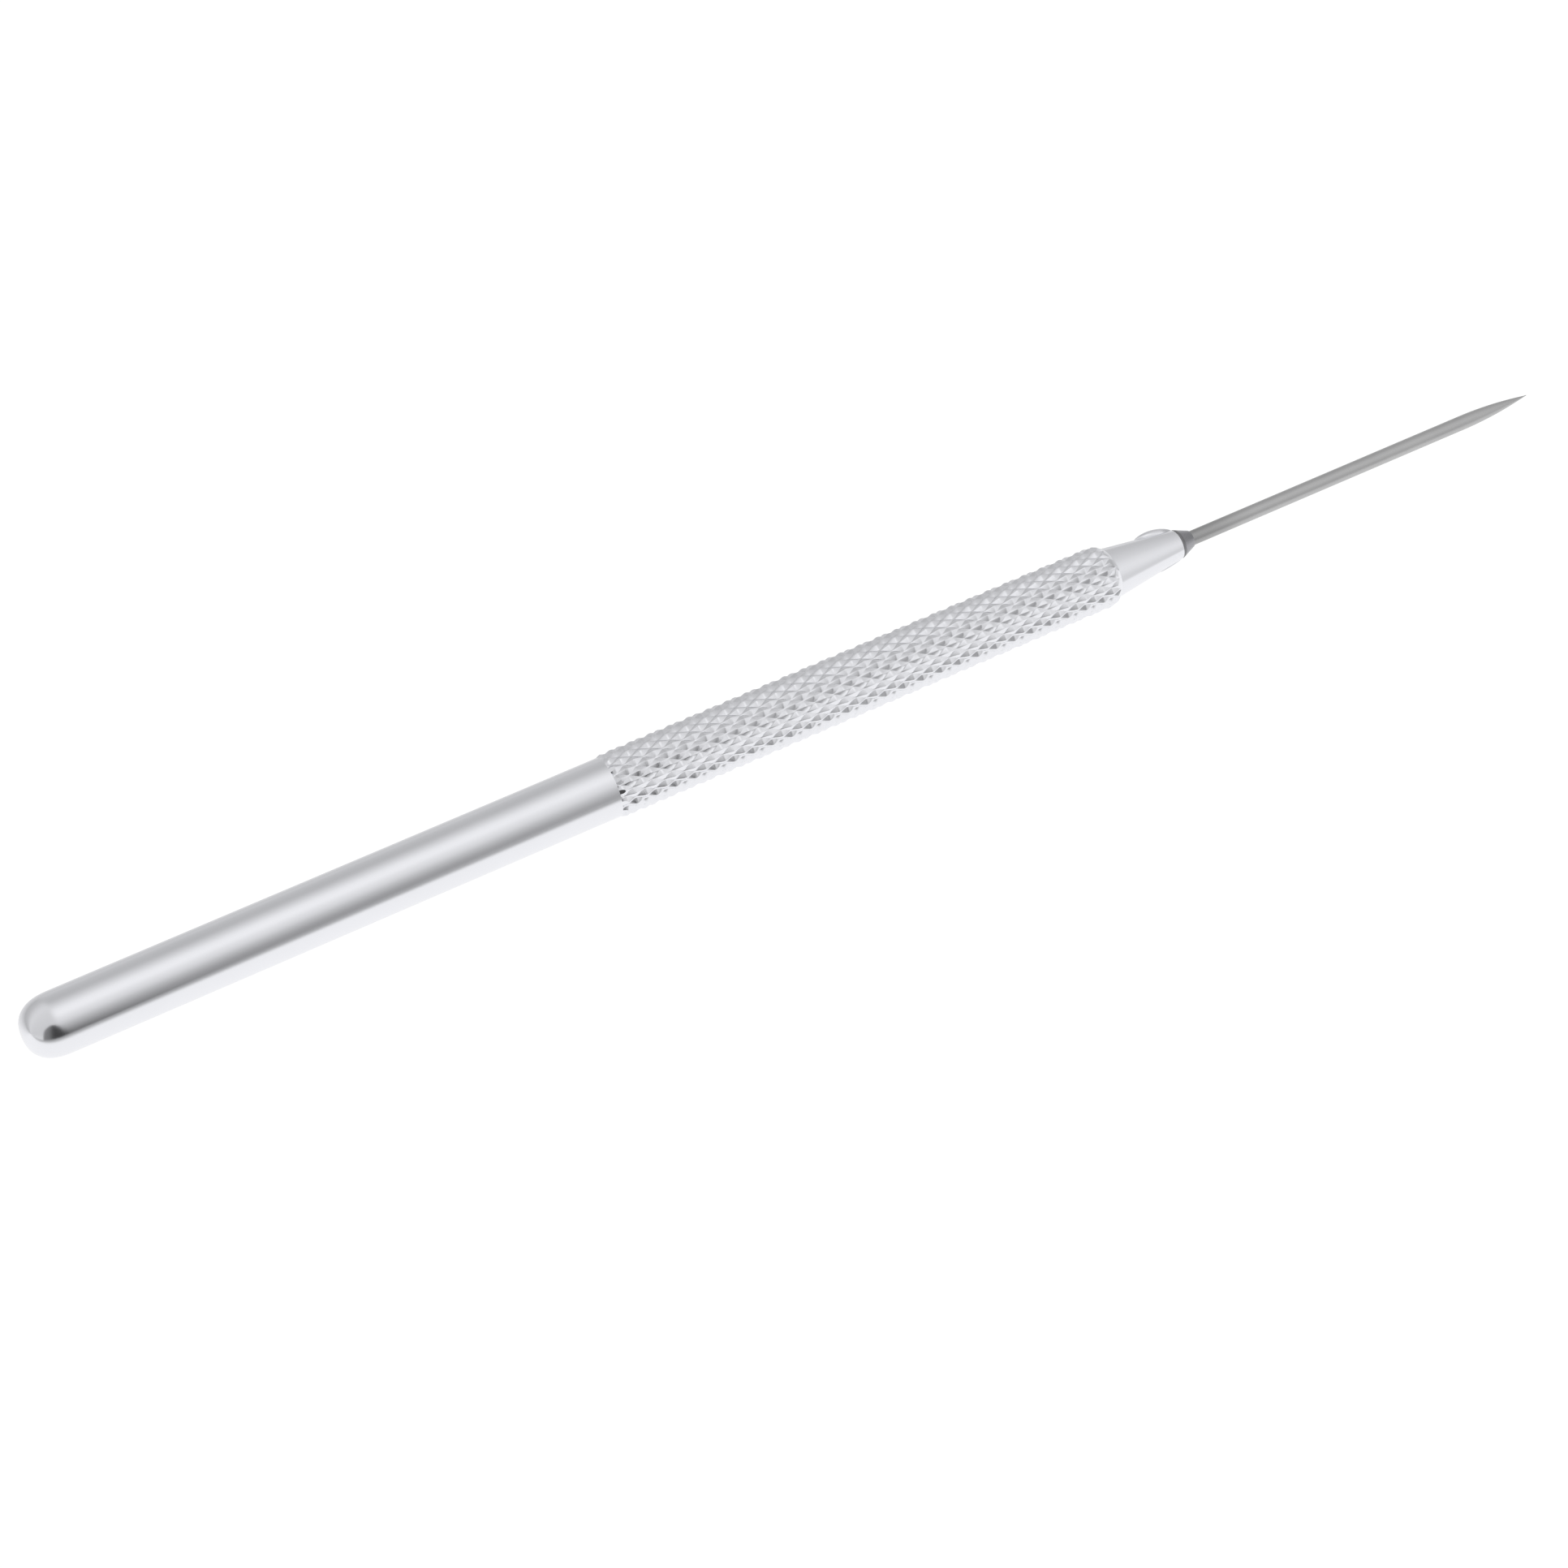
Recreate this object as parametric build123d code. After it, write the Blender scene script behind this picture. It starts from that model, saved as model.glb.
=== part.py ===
from build123d import *
import os
from math import ceil, cos, pi, radians, sin, tan

# Pottery needle tool: a turned aluminium handle with a steel needle crimped in its nose
# It lies along X on its knurl, with the needle's point at +X and the surface under it at Z = 0

# Handle bar
stock_diameter = 6.35
smooth_length = 59.3

# Knurled grip: crossed grooves, as many to the left as to the right, with pointed diamonds between them
knurl_crest_diameter = 6.9
knurl_root_diameter = 6.2
knurl_pitch = 2.24
knurl_start_count = 16
knurl_run_in_length = 0.9
knurl_full_length = 57.9
knurl_end_chamfer_length = 1.1

# Nose cone and the short cone round the needle's mouth
nose_base_diameter = 5.54
nose_rim_diameter = 3.2
nose_length = 8.8
mouth_diameter = 1.9
mouth_cone_length = 1.6

# Lips that the crimp raises on two opposite sides of the nose
upper_lip_length = 4.3
upper_lip_height = 0.6
upper_lip_rim_gap = 0.2
lower_lip_length = 3.0
lower_lip_height = 0.45
lower_lip_rim_gap = 0.05
crimp_angle = 38.0
opposite_angle = crimp_angle + 180

# Needle wire and the bore that holds it
needle_diameter = 1.5875
needle_exposed_length = 45.1
needle_seat_length = 22.0
needle_point_length = 9.0
needle_point_radius = 0.08
needle_butt_chamfer = 0.2
bore_clearance = 0.02
bore_end_gap = 0.5
drill_point_angle = 118.0

# How far a trimming shape stands clear of the crests that it leaves whole
trim_overrun = 0.05

# Radii and stations that follow from the sizes above
stock_radius = stock_diameter / 2
crest_radius = knurl_crest_diameter / 2
root_radius = knurl_root_diameter / 2
nose_base_radius = nose_base_diameter / 2
nose_rim_radius = nose_rim_diameter / 2
needle_radius = needle_diameter / 2
bore_radius = needle_radius + bore_clearance
knurl_length = knurl_run_in_length + knurl_full_length + knurl_end_chamfer_length
handle_length = stock_radius + smooth_length + knurl_length + nose_length + mouth_cone_length
overall_length = handle_length + needle_exposed_length
rear_x = -overall_length / 2
dome_end_x = rear_x + stock_radius
knurl_start_x = dome_end_x + smooth_length
knurl_full_x = knurl_start_x + knurl_run_in_length
knurl_end_x = knurl_full_x + knurl_full_length
nose_start_x = knurl_end_x + knurl_end_chamfer_length
rim_x = nose_start_x + nose_length
mouth_x = rim_x + mouth_cone_length
tip_x = mouth_x + needle_exposed_length

# The diamonds stand in rows along the grip, and the tool lies on two rows, half a row to each side
knurl_row_count = 2 * knurl_start_count
row_angle = 2 * pi / knurl_row_count
row_offset_angle = row_angle / 2
row_step = knurl_pitch / 2
axis_height = crest_radius * cos(row_offset_angle)


def revolved(outline):
    """Closed half outline above the X axis, turned into a solid round it."""
    return revolve(make_face(outline), Axis.X)


def knurl_corner(ring, row):
    """Point of a diamond where ring and row add up to an odd number, else a crossing of two grooves."""
    radius = crest_radius if (ring + row) % 2 else root_radius
    angle = row_angle * row + row_offset_angle
    return Vector(knurl_start_x + row_step * ring, radius * cos(angle), radius * sin(angle))


def facet(*corners):
    """Flat face through its corners."""
    return Face(Wire.make_polygon(corners))


def diamond_facets(ring, row, last_ring):
    """Sides of one diamond, which is half a diamond on an end ring."""
    point = knurl_corner(ring, row)
    ahead = knurl_corner(ring + 1, row)
    behind = knurl_corner(ring - 1, row)
    left = knurl_corner(ring, row + 1)
    right = knurl_corner(ring, row - 1)
    facets = []
    if ring < last_ring:
        facets.append(facet(point, ahead, left))
        facets.append(facet(point, right, ahead))
    if ring > 0:
        facets.append(facet(point, left, behind))
        facets.append(facet(point, behind, right))
    return facets


def knurled_grip():
    """Diamond knurl over the whole grip, trimmed to its run-in and its end chamfer."""
    last_ring = ceil(knurl_length / row_step)
    faces = []
    for ring in range(last_ring + 1):
        for row in range(knurl_row_count):
            if (ring + row) % 2:
                faces.extend(diamond_facets(ring, row, last_ring))
    for ring in (0, last_ring):
        faces.append(facet(*[knurl_corner(ring, row) for row in range(knurl_row_count)]))
    envelope = Polyline(
        (knurl_start_x, 0),
        (knurl_start_x, stock_radius),
        (knurl_full_x, crest_radius + trim_overrun),
        (knurl_end_x, crest_radius + trim_overrun),
        (nose_start_x, nose_base_radius),
        (nose_start_x, 0),
        (knurl_start_x, 0),
    )
    return Solid(Shell(faces)) & revolved(envelope)


def smooth_bar():
    """Plain rear half of the handle with its round end."""
    dome = RadiusArc((rear_x, 0), (dome_end_x, stock_radius), stock_radius)
    sides = Polyline((dome_end_x, stock_radius), (knurl_start_x, stock_radius), (knurl_start_x, 0), (rear_x, 0))
    return revolved(dome + sides)


def nose_cone():
    """Front of the handle, from the end of the knurl to the needle's mouth."""
    return revolved(
        Polyline(
            (nose_start_x, 0),
            (nose_start_x, nose_base_radius),
            (rim_x, nose_rim_radius),
            (mouth_x, mouth_diameter / 2),
            (mouth_x, 0),
            (nose_start_x, 0),
        )
    )


def nose_radius_at(x):
    """Radius of the nose cone at a station along X."""
    share = (x - nose_start_x) / nose_length
    return nose_base_radius + (nose_rim_radius - nose_base_radius) * share


def crimp_lip(lip_length, lip_height, rim_gap, angle):
    """Slim lens with its chord on a line down the side of the nose cone."""
    front_x = rim_x - rim_gap
    back_x = front_x - lip_length
    middle_x = (front_x + back_x) / 2
    chord = Line((back_x, nose_radius_at(back_x)), (front_x, nose_radius_at(front_x)))
    outward = Vector(nose_base_radius - nose_rim_radius, nose_length).normalized()
    crest = Vector(middle_x, nose_radius_at(middle_x)) + outward * lip_height
    bow = ThreePointArc(chord @ 0, crest, chord @ 1)
    lens = revolve(make_face(bow + chord), Axis(chord @ 0, chord % 0))
    return lens.rotate(Axis.X, angle)


def needle_bore():
    """Blind drilled hole for the needle, open at the mouth."""
    bottom_x = mouth_x - needle_seat_length - bore_end_gap
    point_depth = bore_radius / tan(radians(drill_point_angle / 2))
    return revolved(
        Polyline(
            (bottom_x - point_depth, 0),
            (bottom_x, bore_radius),
            (mouth_x, bore_radius),
            (mouth_x, 0),
            (bottom_x - point_depth, 0),
        )
    )


def make_handle():
    """Bar, knurl and nose as the one piece they are turned from, drilled and crimped."""
    nose = nose_cone()
    nose += crimp_lip(upper_lip_length, upper_lip_height, upper_lip_rim_gap, crimp_angle)
    nose += crimp_lip(lower_lip_length, lower_lip_height, lower_lip_rim_gap, opposite_angle)
    return smooth_bar() + knurled_grip() + nose - needle_bore()


def make_needle():
    """Straight wire with a chamfered butt and an ogive point."""
    butt_x = mouth_x - needle_seat_length
    shoulder_x = tip_x - needle_point_length
    nub_x = tip_x - needle_point_radius
    shank = Polyline(
        (tip_x, 0),
        (butt_x, 0),
        (butt_x, needle_radius - needle_butt_chamfer),
        (butt_x + needle_butt_chamfer, needle_radius),
        (shoulder_x, needle_radius),
    )
    ogive = TangentArc((shoulder_x, needle_radius), (nub_x, needle_point_radius), tangent=(1, 0))
    nub = RadiusArc((nub_x, needle_point_radius), (tip_x, 0), needle_point_radius)
    return revolved(shank + ogive + nub)


def save(part, name):
    """Raises a part from the X axis to its resting height and writes it."""
    part = Pos(0, 0, axis_height) * part
    part.label = name
    export_step(part, f"parts/{name}.step")


os.makedirs("parts", exist_ok=True)
save(make_handle(), "handle")
save(make_needle(), "needle")
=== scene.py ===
import bpy
from math import atan2, cos, pi, radians, sin, sqrt
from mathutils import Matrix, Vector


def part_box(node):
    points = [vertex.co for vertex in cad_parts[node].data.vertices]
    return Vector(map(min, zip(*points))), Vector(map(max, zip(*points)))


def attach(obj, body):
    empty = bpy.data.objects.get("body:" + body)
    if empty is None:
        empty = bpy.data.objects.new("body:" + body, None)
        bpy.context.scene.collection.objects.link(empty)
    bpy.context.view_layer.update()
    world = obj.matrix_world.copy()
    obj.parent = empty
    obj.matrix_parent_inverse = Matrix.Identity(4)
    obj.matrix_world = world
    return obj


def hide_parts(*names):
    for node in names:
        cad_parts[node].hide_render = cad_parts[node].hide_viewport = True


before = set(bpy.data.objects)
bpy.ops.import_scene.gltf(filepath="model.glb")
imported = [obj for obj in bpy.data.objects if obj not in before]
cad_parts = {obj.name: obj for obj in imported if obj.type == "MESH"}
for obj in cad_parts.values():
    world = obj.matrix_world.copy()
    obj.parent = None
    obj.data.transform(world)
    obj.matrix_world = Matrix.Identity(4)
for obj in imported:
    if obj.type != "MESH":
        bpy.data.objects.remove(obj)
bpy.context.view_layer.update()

mm = 0.001
handleLow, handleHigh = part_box("handle")
needleLow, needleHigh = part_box("needle")
axisHeight = (handleLow.z + handleHigh.z) / 2      # the tool's axis lies along X at this height
rearX = handleLow.x
mouthX = handleHigh.x
tipX = needleHigh.x


# helpers for edit mode
def onlySelect(piece):
    bpy.ops.object.select_all(action="DESELECT")
    piece.select_set(True)
    bpy.context.view_layer.objects.active = piece


def startEditing(piece, kind):
    onlySelect(piece)
    bpy.ops.object.mode_set(mode="EDIT")
    bpy.ops.mesh.select_mode(type=kind)
    bpy.ops.mesh.select_all(action="SELECT")


def stopEditing():
    bpy.ops.object.mode_set(mode="OBJECT")


# selects the corners, edges or faces that pass a test, and stays in edit mode
def pick(piece, kind, wanted):
    bpy.ops.mesh.select_mode(type=kind)
    bpy.ops.mesh.select_all(action="DESELECT")
    bpy.ops.object.mode_set(mode="OBJECT")
    mesh = piece.data
    for item in {"VERT": mesh.vertices, "EDGE": mesh.edges, "FACE": mesh.polygons}[kind]:
        item.select = wanted(item)
    bpy.ops.object.mode_set(mode="EDIT")


def applyPlace(piece):
    onlySelect(piece)
    bpy.ops.object.transform_apply(location=True, rotation=True, scale=True)


# turned first and moved second, both kept in the mesh
def setPlace(piece, location, rotation=(0, 0, 0)):
    piece.location = location
    piece.rotation_euler = rotation
    applyPlace(piece)


def outwardNormals(piece, mergeDistance=0.0005 * mm):
    startEditing(piece, "VERT")
    bpy.ops.mesh.remove_doubles(threshold=mergeDistance)
    bpy.ops.mesh.normals_make_consistent(inside=False)
    stopEditing()


# the other mesh goes into the piece, and its faces keep their finish
def combine(piece, other, operation):
    cut = piece.modifiers.new(operation.lower(), "BOOLEAN")
    cut.operation = operation
    cut.solver = "EXACT"
    cut.material_mode = "TRANSFER"
    cut.object = other
    onlySelect(piece)
    bpy.ops.object.modifier_apply(modifier=cut.name)
    bpy.data.objects.remove(other)


def fromAxis(co):
    return sqrt(co.y ** 2 + (co.z - axisHeight) ** 2)


def edgeEnds(piece, edge):
    return [piece.data.vertices[index].co for index in edge.vertices]


# a turned piece: a disc on the X axis whose rim is extruded and scaled from station to station
def turnOnLathe(name, profile, sides):
    lastX, lastRadius = profile[0]
    bpy.ops.mesh.primitive_circle_add(vertices=sides, radius=lastRadius, fill_type="NGON",
                                      location=(lastX, 0, axisHeight), rotation=(0, radians(90), 0))
    piece = bpy.context.active_object
    piece.name = name
    applyPlace(piece)
    startEditing(piece, "FACE")
    for stationX, radius in profile[1:]:
        bpy.ops.mesh.extrude_region_move(TRANSFORM_OT_translate={"value": (stationX - lastX, 0, 0)})
        if radius != lastRadius:
            change = radius / lastRadius
            bpy.ops.transform.resize(value=(1, change, change), center_override=(stationX, 0, axisHeight))
        lastX, lastRadius = stationX, radius
    stopEditing()
    outwardNormals(piece)
    return piece


cameraView = {
    "location": (-126.096 * mm, -207.371 * mm, 265.701 * mm),
    "turn": -30.047,           # degrees round the tool, 0 looks along +Y
    "tilt": 48.769,            # degrees down from level
    "lens": 80.03,
    "sensor": 36.0,
    "nearest": 0.01,
    "farthest": 20,
}


def setCamera(view):
    cameraData = bpy.data.cameras.new("camera")
    camera = bpy.data.objects.new("camera", cameraData)
    bpy.context.scene.collection.objects.link(camera)
    camera.location = view["location"]
    camera.rotation_euler = (radians(90 - view["tilt"]), 0, radians(view["turn"]))
    cameraData.lens = view["lens"]
    cameraData.sensor_width = view["sensor"]
    cameraData.clip_start = view["nearest"]
    cameraData.clip_end = view["farthest"]
    bpy.context.scene.camera = camera
    bpy.context.scene.view_settings.view_transform = "Standard"


setCamera(cameraView)
print("camera set")


# helpers for node trees
def newMaterial(name):
    material = bpy.data.materials.new(name)
    material.use_nodes = True
    material.node_tree.nodes.clear()
    return material, material.node_tree


def addNode(tree, kind, **settings):
    node = tree.nodes.new(kind)
    node.location = (200 * len(tree.nodes), 0)         # one long row
    for key, value in settings.items():
        setattr(node, key, value)
    return node


# puts a colour, a number or another node's output into a socket
def feed(tree, value, socket):
    if isinstance(value, bpy.types.NodeSocket):
        tree.links.new(value, socket)
    elif isinstance(value, tuple):
        socket.default_value = (*value, 1)
    else:
        socket.default_value = value


def mathNode(tree, operation, *values, clamp=False):
    node = addNode(tree, "ShaderNodeMath", operation=operation, use_clamp=clamp)
    for value, socket in zip(values, node.inputs):
        feed(tree, value, socket)
    return node.outputs[0]


def mixColours(tree, factor, first, second):
    mix = addNode(tree, "ShaderNodeMix", data_type="RGBA")
    for value, index in ((factor, 0), (first, 6), (second, 7)):       # the colour sockets are the seventh and eighth
        feed(tree, value, mix.inputs[index])
    return mix.outputs[2]


def mixShaders(tree, factor, first, second):
    mix = addNode(tree, "ShaderNodeMixShader")
    for value, socket in zip((factor, first, second), mix.inputs):
        feed(tree, value, socket)
    return mix.outputs[0]


def glow(tree, strength):
    emission = addNode(tree, "ShaderNodeEmission")
    feed(tree, strength, emission.inputs["Strength"])
    return emission.outputs[0]


def paint(tree, albedo):
    diffuse = addNode(tree, "ShaderNodeBsdfDiffuse")
    feed(tree, (albedo, albedo, albedo), diffuse.inputs["Color"])
    return diffuse.outputs[0]


# a soft step from one value of the input to another
def softStep(tree, value, ends, levels=(0.0, 1.0)):
    step = addNode(tree, "ShaderNodeMapRange", interpolation_type="SMOOTHSTEP")
    feed(tree, value, step.inputs["Value"])
    step.inputs["From Min"].default_value, step.inputs["From Max"].default_value = ends
    step.inputs["To Min"].default_value, step.inputs["To Max"].default_value = levels
    return step.outputs["Result"]


# brightness by place or angle, the stops run from -reach to +reach
def brightnessRamp(tree, value, stops, reach, interpolation="CARDINAL"):
    ramp = addNode(tree, "ShaderNodeValToRGB")
    ramp.color_ramp.interpolation = interpolation
    elements = ramp.color_ramp.elements
    places = [(stop[0] + reach) / (2 * reach) for stop in stops]
    elements[0].position = places[0]
    elements[1].position = places[-1]
    for place in places[1:-1]:
        elements.new(place)
    for element, stop in zip(elements, stops):
        element.color = (stop[1], stop[1], stop[1], 1)
    feed(tree, value, ramp.inputs[0])
    return ramp.outputs[0]


def separated(tree, coordinates="Object"):
    where = addNode(tree, "ShaderNodeTexCoord")
    parts = addNode(tree, "ShaderNodeSeparateXYZ")
    tree.links.new(where.outputs[coordinates], parts.inputs[0])
    return parts.outputs


# the studio: white floor, gray room with a bright ceiling strip, and a dark soft-edged panel in front
floorLook = {
    "size": 4.0,
    "drop": 0.02 * mm,             # under the tool
    "white": 0.97,                 # as the lens sees it, the shadow's share comes on top
    "shadowShare": 0.12,
    "albedo": 0.80,
    # painted reflection: how bright the metal sees it at a distance in front of the tool (-) and behind it (+), in mm
    "inMetal": ((-70, 0.42), (-42, 0.44), (-27, 0.66), (-14, 0.98), (0, 1.0), (12, 0.76), (24, 0.66), (40, 0.62)),
    "inMetalReach": 80,
    "pastNose": 0.74,              # at least this bright past the nose
    "noseEnds": (0.036, 0.052),    # along X, where that sets in
}
roomLook = {
    # light round the tool: degrees from straight up, - behind and + in front
    "rear": ((-90, 0.50), (-60, 0.58), (-34, 0.74), (-8, 0.72), (30, 0.68), (60, 0.68), (90, 0.78)),
    "middle": ((-90, 0.66), (-72, 0.57), (-40, 0.55), (-12, 0.84), (6, 0.97), (22, 0.90),
               (47, 0.66), (70, 0.40), (90, 0.35)),
    "front": ((-90, 0.58), (-45, 0.62), (0, 0.74), (30, 0.85), (56, 0.86), (76, 0.78), (90, 0.72)),
    "horizon": 90,
    "rearEnds": (-0.12, 0.07),     # share of +X in the direction where one room fades into the next
    "frontEnds": (0.20, 0.60),
    "far": 0.50,                   # the dimmer end of the room, straight past the point and above the horizon
    "farEnds": (0.70, 0.84),
    "farRise": (0.10, 0.18),
}
panelLook = {
    "place": (-0.25, -0.42),
    "width": 0.54,
    "height": 0.60,
    "slant": 0.8,                  # how much its right side draws in towards the top
    "foot": 0.1,                   # full below this share of its height under the middle
    "topStretch": 1.8,             # how soon it fades towards the top
    "fade": (0.98, 0.74),          # from clear to full, in shares of its half size
    "dark": 0.05,
    "pale": 0.20,
    "paleEnds": (0.14, -0.16),     # paler to the left
}


def makeFloor(look):
    bpy.ops.mesh.primitive_plane_add(size=look["size"], location=(0, 0, -look["drop"]))
    floor = bpy.context.active_object
    floor.name = "floor"
    applyPlace(floor)
    material, tree = newMaterial("whitePaper")
    path = addNode(tree, "ShaderNodeLightPath")
    # the lens sees it glow white, with the tool's shadow in a small diffuse share
    seen = addNode(tree, "ShaderNodeAddShader")
    tree.links.new(paint(tree, look["shadowShare"]), seen.inputs[0])
    tree.links.new(glow(tree, look["white"]), seen.inputs[1])
    # painted reflection: what the metal sees glows brighter near the tool and fades with the distance to it
    place = separated(tree)
    reach = look["inMetalReach"]
    across = mathNode(tree, "MULTIPLY_ADD", place["Y"], 1 / (2 * reach * mm), 0.5, clamp=True)
    beside = brightnessRamp(tree, across, look["inMetal"], reach, "EASE")
    pastNose = mathNode(tree, "MULTIPLY", softStep(tree, place["X"], look["noseEnds"]), look["pastNose"])
    mirrored = glow(tree, mathNode(tree, "MAXIMUM", beside, pastNose))
    unseen = mixShaders(tree, path.outputs["Is Glossy Ray"], paint(tree, look["albedo"]), mirrored)
    toLens = mathNode(tree, "MAXIMUM", path.outputs["Is Camera Ray"], path.outputs["Is Transmission Ray"])
    output = addNode(tree, "ShaderNodeOutputMaterial")
    tree.links.new(mixShaders(tree, toLens, unseen, seen.outputs[0]), output.inputs["Surface"])
    floor.data.materials.append(material)


def makeRoom(look):
    world = bpy.data.worlds.new("room")
    bpy.context.scene.world = world
    world.use_nodes = True
    tree = world.node_tree
    tree.nodes.clear()
    direction = separated(tree, "Generated")
    towardsFront = mathNode(tree, "MULTIPLY", direction["Y"], -1.0)
    angle = mathNode(tree, "ARCTAN2", towardsFront, direction["Z"])
    turned = mathNode(tree, "MULTIPLY_ADD", angle, 1 / pi, 0.5, clamp=True)
    rear, middle, front = (brightnessRamp(tree, turned, look[part], look["horizon"])
                           for part in ("rear", "middle", "front"))
    light = mixColours(tree, softStep(tree, direction["X"], look["rearEnds"]), rear, middle)
    light = mixColours(tree, softStep(tree, direction["X"], look["frontEnds"]), light, front)
    isFar = mathNode(tree, "MULTIPLY", softStep(tree, direction["X"], look["farEnds"]),
                     softStep(tree, direction["Z"], look["farRise"]))
    light = mixColours(tree, isFar, light, (look["far"],) * 3)
    path = addNode(tree, "ShaderNodeLightPath")
    background = addNode(tree, "ShaderNodeBackground")
    tree.links.new(mixColours(tree, path.outputs["Is Camera Ray"], light, (1, 1, 1)), background.inputs["Color"])
    output = addNode(tree, "ShaderNodeOutputWorld")
    tree.links.new(background.outputs[0], output.inputs["Surface"])


# a dark glowing sheet that paints a dark reflection into the metal; it stands on the floor, shows only in the metal
# and casts no shadow
def makePanel(look):
    placeX, placeY = look["place"]
    bpy.ops.mesh.primitive_plane_add(size=1, location=(placeX, placeY, look["height"] / 2),
                                     rotation=(radians(90), 0, 0))
    panel = bpy.context.active_object
    panel.name = "darkPanel"
    panel.scale = (look["width"], look["height"], 1)
    material, tree = newMaterial("paintedDarkReflection")
    place = separated(tree)
    # soft sides and top, the foot stays full
    across = mathNode(tree, "MULTIPLY", place["X"], 2.0)
    rise = mathNode(tree, "ADD", place["Y"], 0.5)
    narrowing = mathNode(tree, "MULTIPLY_ADD", rise, look["slant"], 1.0)
    rightSide = mathNode(tree, "MULTIPLY", mathNode(tree, "MAXIMUM", across, 0.0), narrowing)
    across = mathNode(tree, "ADD", mathNode(tree, "MINIMUM", across, 0.0), rightSide)
    up = mathNode(tree, "MAXIMUM", place["Y"], -look["foot"])
    up = mathNode(tree, "MULTIPLY_ADD", up, look["topStretch"], look["foot"] * look["topStretch"])
    outwards = mathNode(tree, "SQRT", mathNode(tree, "ADD", mathNode(tree, "MULTIPLY", across, across),
                                               mathNode(tree, "MULTIPLY", up, up)))
    cover = softStep(tree, outwards, look["fade"])
    # painted reflection: the sheet glows dark, paler to the left
    paintedReflection = glow(tree, softStep(tree, place["X"], look["paleEnds"], (look["dark"], look["pale"])))
    clear = addNode(tree, "ShaderNodeBsdfTransparent")
    output = addNode(tree, "ShaderNodeOutputMaterial")
    tree.links.new(mixShaders(tree, cover, clear.outputs[0], paintedReflection), output.inputs["Surface"])
    panel.data.materials.append(material)
    panel.visible_camera = False
    panel.visible_shadow = False
    panel.visible_diffuse = False


makeFloor(floorLook)
makeRoom(roomLook)
makePanel(panelLook)
print("studio set")


grainDetail = 3.0
cloudDetail = 2.0


# metal with fine grain, and soft clouds in its tone and gloss
def metalMaterial(name, finish):
    material, tree = newMaterial(name)
    where = addNode(tree, "ShaderNodeTexCoord").outputs["Object"]
    stretch = addNode(tree, "ShaderNodeMapping")
    stretch.inputs["Scale"].default_value = finish["grainStretch"]
    tree.links.new(where, stretch.inputs[0])
    grain = addNode(tree, "ShaderNodeTexNoise")
    cloud = addNode(tree, "ShaderNodeTexNoise")
    for noise, vector, scale, detail in ((grain, stretch.outputs[0], finish["grainScale"], grainDetail),
                                         (cloud, where, finish["cloudScale"], cloudDetail)):
        noise.inputs["Scale"].default_value = scale
        noise.inputs["Detail"].default_value = detail
        tree.links.new(vector, noise.inputs["Vector"])
    colour = mixColours(tree, cloud.outputs["Fac"], finish["dark"], finish["light"])
    if "rootShade" in finish:
        along = softStep(tree, separated(tree)["X"], finish["rootEnds"])
        rise = mathNode(tree, "MULTIPLY_ADD", along, 1 - finish["rootShade"], finish["rootShade"])
        shaded = addNode(tree, "ShaderNodeVectorMath", operation="SCALE")
        tree.links.new(colour, shaded.inputs[0])
        tree.links.new(rise, shaded.inputs["Scale"])
        colour = shaded.outputs[0]
    mixed = mathNode(tree, "ADD", grain.outputs["Fac"], cloud.outputs["Fac"])
    spread = finish["roughSpread"]
    rough = mathNode(tree, "MULTIPLY_ADD", mixed, spread, finish["rough"] - spread)
    bump = addNode(tree, "ShaderNodeBump")
    bump.inputs["Strength"].default_value = finish["bump"]
    bump.inputs["Distance"].default_value = finish["bumpDepth"]
    tree.links.new(grain.outputs["Fac"], bump.inputs["Height"])
    shader = addNode(tree, "ShaderNodeBsdfPrincipled")
    shader.inputs["Metallic"].default_value = 1.0
    tree.links.new(colour, shader.inputs["Base Color"])
    tree.links.new(rough, shader.inputs["Roughness"])
    tree.links.new(bump.outputs[0], shader.inputs["Normal"])
    output = addNode(tree, "ShaderNodeOutputMaterial")
    tree.links.new(shader.outputs[0], output.inputs["Surface"])
    return material


polishedFinish = {
    "light": (0.885, 0.89, 0.925), "dark": (0.85, 0.855, 0.89),
    "rough": 0.17, "roughSpread": 0.05,
    "grainStretch": (1.0, 0.02, 0.02), "grainScale": 9000.0, "cloudScale": 180.0,
    "bump": 0.10, "bumpDepth": 0.004 * mm,
}
knurledFinish = {
    "light": (0.885, 0.89, 0.925), "dark": (0.84, 0.845, 0.88),
    "rough": 0.15, "roughSpread": 0.06,
    "grainStretch": (1.0, 1.0, 1.0), "grainScale": 5000.0, "cloudScale": 700.0,
    "bump": 0.15, "bumpDepth": 0.01 * mm,
}
mouthShadeFinish = {                      # the cone round the needle's mouth, its colour darkened to paint the shade seen there
    "light": (0.42, 0.42, 0.44), "dark": (0.33, 0.33, 0.35),
    "rough": 0.26, "roughSpread": 0.08,
    "grainStretch": (1.0, 1.0, 1.0), "grainScale": 6000.0, "cloudScale": 900.0,
    "bump": 0.25, "bumpDepth": 0.01 * mm,
}
rimShadeFinish = {                     # the dark line along the rim, its colour darkened to paint the dark reflection seen there
    "light": (0.30, 0.30, 0.31), "dark": (0.22, 0.22, 0.23),
    "rough": 0.40, "roughSpread": 0.10,
    "grainStretch": (1.0, 1.0, 1.0), "grainScale": 6000.0, "cloudScale": 900.0,
    "bump": 0.2, "bumpDepth": 0.01 * mm,
}
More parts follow.
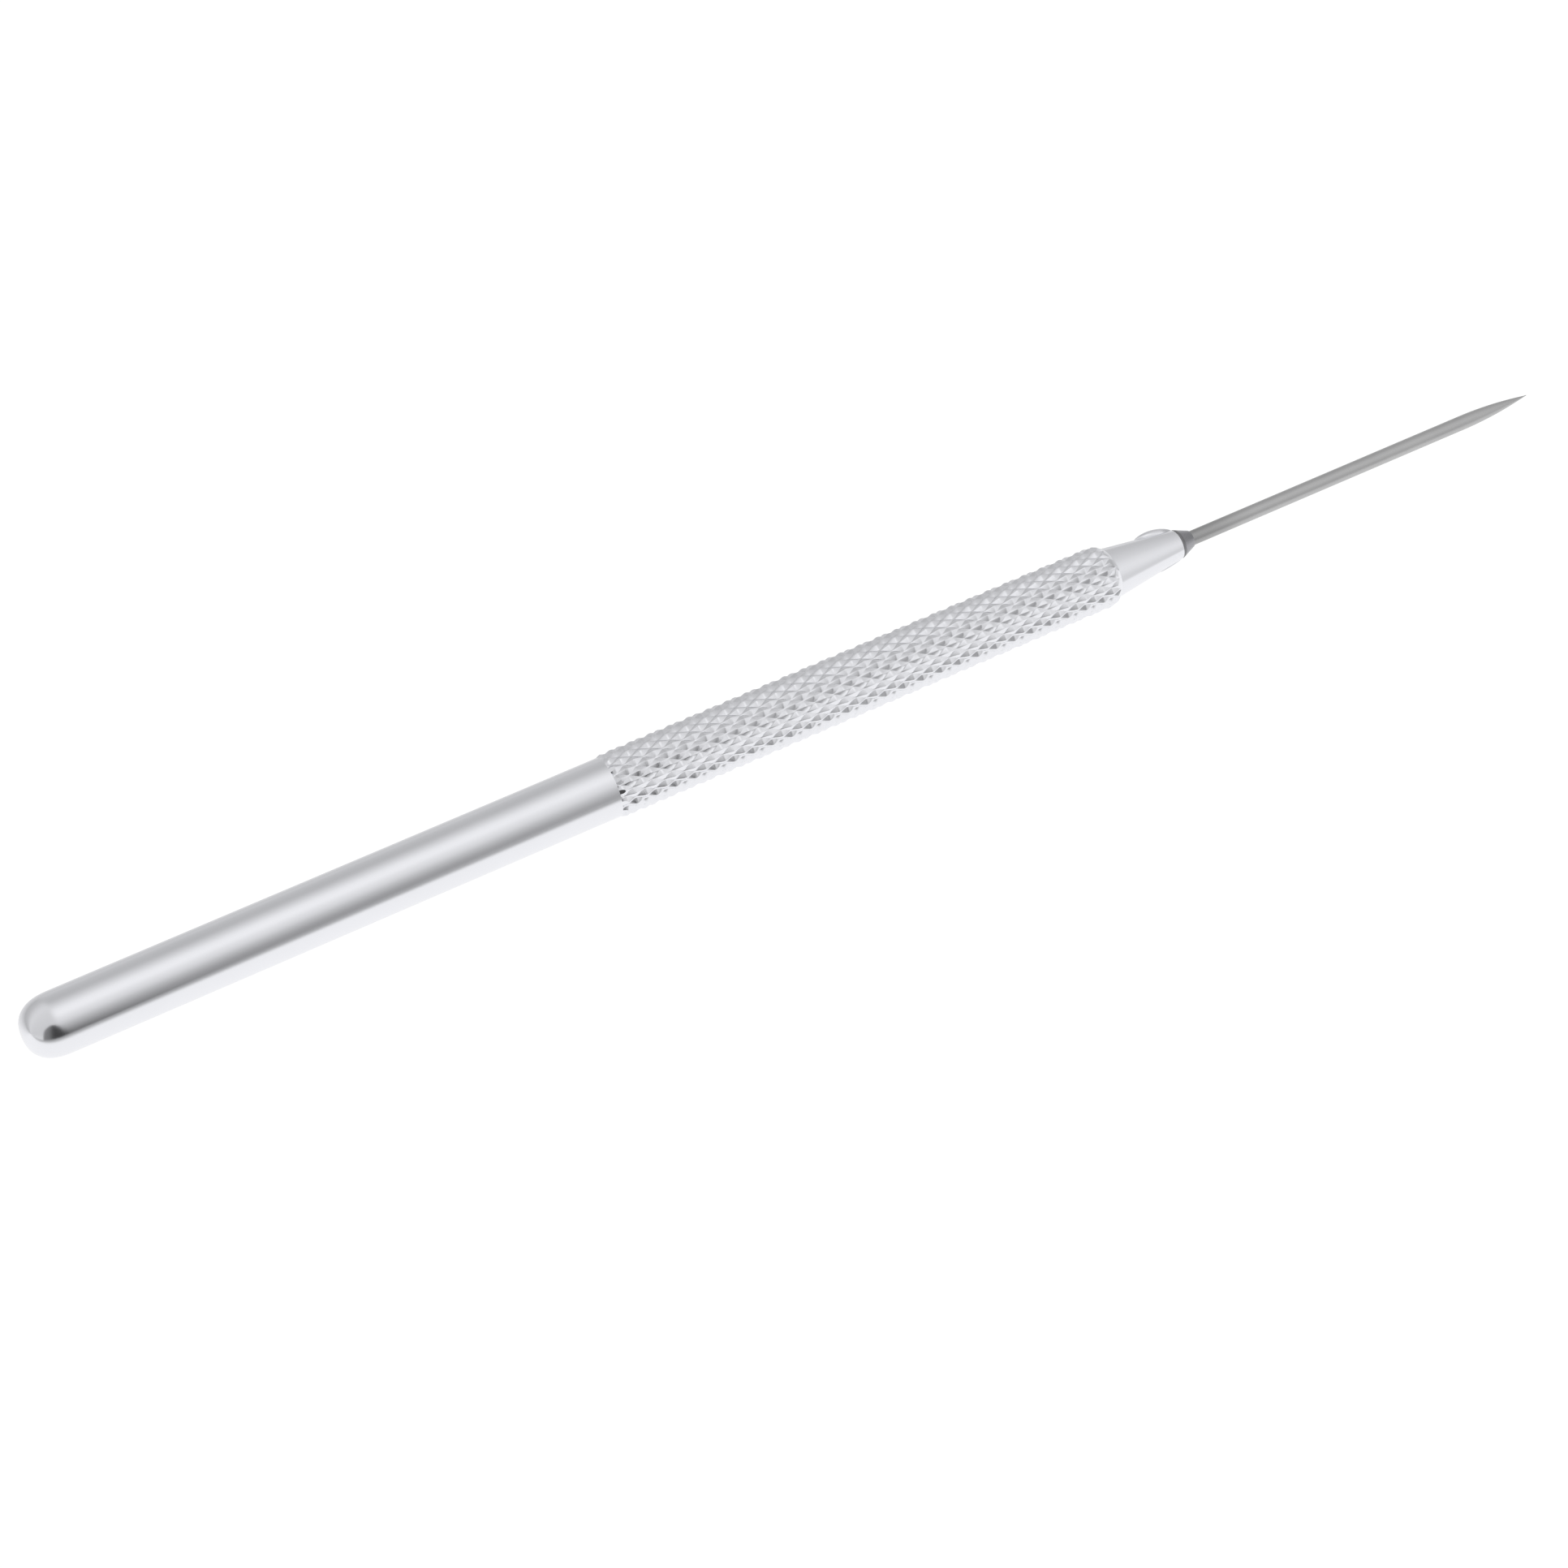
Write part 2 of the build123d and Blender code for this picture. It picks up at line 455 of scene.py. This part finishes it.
steelFinish = {
    "light": (0.57, 0.57, 0.57), "dark": (0.50, 0.50, 0.505),
    "rough": 0.36, "roughSpread": 0.10,
    "grainStretch": (0.03, 1.0, 1.0), "grainScale": 9000.0, "cloudScale": 400.0,
    "bump": 0.25, "bumpDepth": 0.006 * mm,
    "rootShade": 0.78,             # darker where it comes out of the nose
    "rootEnds": (mouthX + 0.5 * mm, mouthX + 9.0 * mm),
}
polishedAluminium = metalMaterial("polishedAluminium", polishedFinish)
knurledAluminium = metalMaterial("knurledAluminium", knurledFinish)
mouthShadedAluminium = metalMaterial("mouthShadedAluminium", mouthShadeFinish)
rimShadeAluminium = metalMaterial("rimShadeAluminium", rimShadeFinish)
needleSteel = metalMaterial("needleSteel", steelFinish)
print("finishes made")


handleSizes = {
    "sides": 96,
    "barRadius": 3.175 * mm,
    "domeLength": 3.9 * mm,
    "domeFullness": 2.45,                     # 2 is an ellipse
    "domeRings": 20,
    "domeTip": 0.35,                          # the first ring's share of a step from the very end
    "supportGap": 0.5 * mm,                   # rings near the bar's ends keep its shading straight
    "knurlStartX": rearX + 62.475 * mm,       # dome and smooth bar
    "runIn": 0.9 * mm,
    "fullLength": 57.9 * mm,
    "endChamfer": 1.1 * mm,
    "shoulder": 3.0 * mm,                     # the knurl's rounded end
    "shoulderRings": 6,
    "shoulderPower": 4,
    "crestRadius": 3.47 * mm,
    "crestClearance": 0.02 * mm,
    "rootRadius": 3.10 * mm,
    "insideBar": 0.05 * mm,                   # the knurl starts inside the bar, so that they unite
    "underBar": 0.03 * mm,
    "pitch": 2.225 * mm,
    "starts": 16,
    "firstCrestX": -24.87 * mm,
    "leadRings": 2.5,                         # the grid starts this many pitches earlier
    "spareRings": 4,
    "firstCrestAngle": 21.7,                  # degrees from +Y towards +Z
    "ridgeRound": 0.145 * mm,
    "ridgeSteps": 2,
    "noseBaseRadius": 2.77 * mm,
    "noseRimRadius": 1.6 * mm,
    "noseLength": 8.8 * mm,
    "mouthRadius": 0.95 * mm,
    "mouthLength": 1.6 * mm,
    "rimBand": 0.2 * mm,                      # painted dark line round the rim, a reflection painted into the colour, on the mouth's side and on the nose's
    "rimLine": 0.2 * mm,
    "rimNear": (0.01 * mm, 0.02 * mm),        # what counts as on the rim, along and across
    "boreRadius": 0.81375 * mm,
    "boreDepth": 22.5 * mm,
    "boreOvershoot": 1 * mm,
    "boreSides": 48,
    "crimpAngle": 38.0,
    "lipRings": 14,
    "lipSides": 32,
    "lipFullness": 0.8,                       # 0.5 is an ellipse, 1 a parabola
    "lipEnd": 0.99,                           # where the lens is cut off, as a share of its half length
    "upperLip": {"length": 4.5 * mm, "height": 0.58 * mm, "gap": 0.02 * mm},
    "lowerLip": {"length": 3.0 * mm, "height": 0.12 * mm, "gap": 0.2 * mm},
    "smoothAngle": 22,
}


# the grid of pointed diamonds, longer than the grip at both ends
def makeDiamonds(sizes, length):
    pitch, starts = sizes["pitch"], sizes["starts"]
    root, crest = sizes["rootRadius"], sizes["crestRadius"]
    rings = int(length / pitch) + sizes["spareRings"]
    gridStart = sizes["firstCrestX"] - sizes["leadRings"] * pitch
    # a tube with one face per start and pitch
    bpy.ops.mesh.primitive_circle_add(vertices=starts, radius=root, fill_type="NOTHING", rotation=(0, radians(90), 0))
    knurl = bpy.context.active_object
    knurl.name = "knurl"
    applyPlace(knurl)
    setPlace(knurl, (gridStart, 0, axisHeight), (radians(sizes["firstCrestAngle"]), 0, 0))
    startEditing(knurl, "EDGE")
    for ring in range(rings):
        bpy.ops.mesh.extrude_region_move(TRANSFORM_OT_translate={"value": (pitch, 0, 0)})
    bpy.ops.mesh.select_all(action="SELECT")
    bpy.ops.mesh.normals_make_consistent(inside=False)
    # its faces are poked, and the new corners, which lie inside the tube, are moved out to the rest
    bpy.ops.mesh.poke(center_mode="MEDIAN")
    insideTube = 0.999 * root
    pick(knurl, "VERT", lambda vert: fromAxis(vert.co) < insideTube)
    outward = 1 / cos(pi / starts)
    bpy.ops.transform.resize(value=(1, outward, outward), center_override=(0, 0, axisHeight))
    # the first grid's edges are dissolved, but for its two end rings, which leaves the diamonds
    firstGrid = starts * (rings + 1)
    lowX, highX = gridStart + pitch / 8, gridStart + (rings - 1 / 8) * pitch
    pick(knurl, "EDGE", lambda edge: max(edge.vertices) < firstGrid
         and 2 * lowX < sum(co.x for co in edgeEnds(knurl, edge)) < 2 * highX)
    bpy.ops.mesh.dissolve_edges(use_verts=False)
    # each diamond is raised to a point
    pick(knurl, "FACE", lambda face: len(face.vertices) == 4)
    bpy.ops.mesh.poke(center_mode="MEDIAN")
    pick(knurl, "VERT", lambda vert: fromAxis(vert.co) < insideTube)
    outward = crest / (root * (1 + cos(pi / starts)) / 2)
    bpy.ops.transform.resize(value=(1, outward, outward), center_override=(0, 0, axisHeight))
    # the four ridges of each diamond, which run from its point to its corners, are rounded
    middle = (root + crest) / 2
    pick(knurl, "EDGE", lambda edge: sum(fromAxis(co) > middle for co in edgeEnds(knurl, edge)) == 1)
    bpy.ops.mesh.bevel(offset=sizes["ridgeRound"], segments=sizes["ridgeSteps"], affect="EDGES")
    # closed ends
    bpy.ops.mesh.select_all(action="DESELECT")
    bpy.ops.mesh.select_non_manifold(extend=False)
    bpy.ops.mesh.edge_face_add()
    stopEditing()
    outwardNormals(knurl)
    print("knurl grid made", len(knurl.data.polygons))
    return knurl


def makeKnurl(sizes):
    startX = sizes["knurlStartX"]
    length = sizes["runIn"] + sizes["fullLength"] + sizes["endChamfer"]
    knurl = makeDiamonds(sizes, length)
    # trimmed to its run-in and its rounded shoulder
    clear = sizes["crestRadius"] + sizes["crestClearance"]
    profile = [(startX - sizes["insideBar"], sizes["barRadius"] - sizes["underBar"]),
               (startX + sizes["runIn"], clear)]
    for ring in range(sizes["shoulderRings"] + 1):
        along = ring / sizes["shoulderRings"]
        profile.append((startX + length - sizes["shoulder"] * (1 - along),
                        clear - (clear - sizes["noseBaseRadius"]) * along ** sizes["shoulderPower"]))
    envelope = turnOnLathe("envelope", profile, sizes["sides"])
    knurl.data.materials.append(knurledAluminium)
    envelope.data.materials.append(knurledAluminium)
    combine(knurl, envelope, "INTERSECT")
    print("knurl trimmed", len(knurl.data.polygons))
    return knurl


def makeBar(sizes):
    radius, power = sizes["barRadius"], 2 / sizes["domeFullness"]
    domeEndX, knurlX, gap = rearX + sizes["domeLength"], sizes["knurlStartX"], sizes["supportGap"]
    profile = []
    for ring in range(sizes["domeRings"]):
        angle = radians(90) * (ring + sizes["domeTip"]) / (sizes["domeRings"] + sizes["domeTip"])
        profile.append((rearX + sizes["domeLength"] * (1 - cos(angle) ** power), radius * sin(angle) ** power))
    profile += [(stationX, radius) for stationX in (domeEndX, domeEndX + gap, knurlX - gap, knurlX)]
    bar = turnOnLathe("bar", profile, sizes["sides"])
    bar.data.materials.append(polishedAluminium)
    return bar


# a slim lens that the crimp raises, half sunk in the nose
def makeLip(sizes, lip, centre, slope, angle):
    profile = []
    for ring in range(sizes["lipRings"] + 1):
        along = -sizes["lipEnd"] * cos(pi * ring / sizes["lipRings"])
        profile.append((along * lip["length"] / 2, lip["height"] * (1 - along ** 2) ** sizes["lipFullness"]))
    lens = turnOnLathe("lip", profile, sizes["lipSides"])
    centreX, centreRadius = centre
    setPlace(lens, (0, 0, -axisHeight))
    setPlace(lens, (0, 0, centreRadius), (0, -atan2(slope, 1), 0))
    setPlace(lens, (centreX, 0, axisHeight), (radians(angle - 90), 0, 0))
    lens.data.materials.append(polishedAluminium)
    return lens


def makeNose(sizes):
    startX = sizes["knurlStartX"] + sizes["runIn"] + sizes["fullLength"] + sizes["endChamfer"]
    rimX = startX + sizes["noseLength"]
    bandX = rimX + sizes["rimBand"]
    lineX = rimX - sizes["rimLine"]
    slope = (sizes["noseRimRadius"] - sizes["noseBaseRadius"]) / sizes["noseLength"]
    mouthSlope = (sizes["mouthRadius"] - sizes["noseRimRadius"]) / sizes["mouthLength"]
    nose = turnOnLathe("nose", [
        (startX, sizes["noseBaseRadius"]),
        (lineX, sizes["noseRimRadius"] - slope * sizes["rimLine"]),
        (rimX, sizes["noseRimRadius"]),
        (bandX, sizes["noseRimRadius"] + mouthSlope * sizes["rimBand"]),
        (rimX + sizes["mouthLength"], sizes["mouthRadius"]),
    ], sizes["sides"])
    # the rim line and the mouth cone get darkened colours that paint the dark reflection and shade seen there
    for finish in (polishedAluminium, rimShadeAluminium, mouthShadedAluminium):
        nose.data.materials.append(finish)
    for face in nose.data.polygons:
        face.material_index = (face.center.x > lineX) + (face.center.x > bandX)
    for lip, angle in ((sizes["upperLip"], sizes["crimpAngle"]), (sizes["lowerLip"], sizes["crimpAngle"] + 180)):
        centreX = rimX - lip["gap"] - lip["length"] / 2
        centre = (centreX, sizes["noseBaseRadius"] + slope * (centreX - startX))
        combine(nose, makeLip(sizes, lip, centre, slope, angle), "UNION")
    return nose


def makeHandle(sizes):
    knurl = makeKnurl(sizes)
    handle = makeBar(sizes)
    nose = makeNose(sizes)
    combine(handle, knurl, "UNION")
    combine(handle, nose, "UNION")
    handle.name = "handleTurned"
    bore = turnOnLathe("bore", [(mouthX - sizes["boreDepth"], sizes["boreRadius"]),
                                (mouthX + sizes["boreOvershoot"], sizes["boreRadius"])], sizes["boreSides"])
    bore.data.materials.append(polishedAluminium)
    combine(handle, bore, "DIFFERENCE")
    outwardNormals(handle)
    onlySelect(handle)
    bpy.ops.object.shade_smooth_by_angle(angle=radians(sizes["smoothAngle"]))
    # the rim round the mouth stays crisp
    rimX, rimRadius = mouthX - sizes["mouthLength"], sizes["noseRimRadius"]
    nearX, nearRadius = sizes["rimNear"]
    startEditing(handle, "EDGE")
    pick(handle, "EDGE", lambda edge: all(abs(co.x - rimX) < nearX and abs(fromAxis(co) - rimRadius) < nearRadius
                                          for co in edgeEnds(handle, edge)))
    bpy.ops.mesh.mark_sharp()
    stopEditing()
    return handle


handle = makeHandle(handleSizes)
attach(handle, "root")
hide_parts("handle")
print("handle made", len(handle.data.polygons))


needleSizes = {
    "sides": 48,
    "radius": 0.79375 * mm,
    "buttChamfer": 0.2 * mm,
    "pointLength": 9.0 * mm,
    "pointRings": 12,
    "tipRadius": 0.06 * mm,
    "tipLength": 0.35 * mm,         # the ground end, rounded off over its last part
    "tipRoundLength": 0.05 * mm,
    "tipRound": (0.6, 0.25),
    "ringPastMouth": 1.2 * mm,
    "smoothAngle": 30,
}


def makeNeedle(sizes):
    radius, length, tip = sizes["radius"], sizes["pointLength"], sizes["tipRadius"]
    bow = (length ** 2 + radius ** 2) / (2 * radius)      # radius of the ogive's arc
    ogive = lambda along: sqrt(bow ** 2 - along ** 2) - (bow - radius)
    profile = [
        (needleLow.x, radius - sizes["buttChamfer"]),
        (needleLow.x + sizes["buttChamfer"], radius),
        (mouthX + sizes["ringPastMouth"], radius),
    ]
    for ring in range(sizes["pointRings"]):
        along = length * ring / sizes["pointRings"]
        profile.append((tipX - length + along, ogive(along)))
    profile += [
        (tipX - sizes["tipLength"], max(ogive(length - sizes["tipLength"]), tip)),
        (tipX - sizes["tipRoundLength"], tip * sizes["tipRound"][0]),
        (tipX, tip * sizes["tipRound"][1]),
    ]
    needle = turnOnLathe("needleGround", profile, sizes["sides"])
    needle.data.materials.append(needleSteel)
    onlySelect(needle)
    bpy.ops.object.shade_smooth_by_angle(angle=radians(sizes["smoothAngle"]))
    return needle


needle = makeNeedle(needleSizes)
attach(needle, "root")
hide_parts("needle")
print("needle made", len(needle.data.polygons))
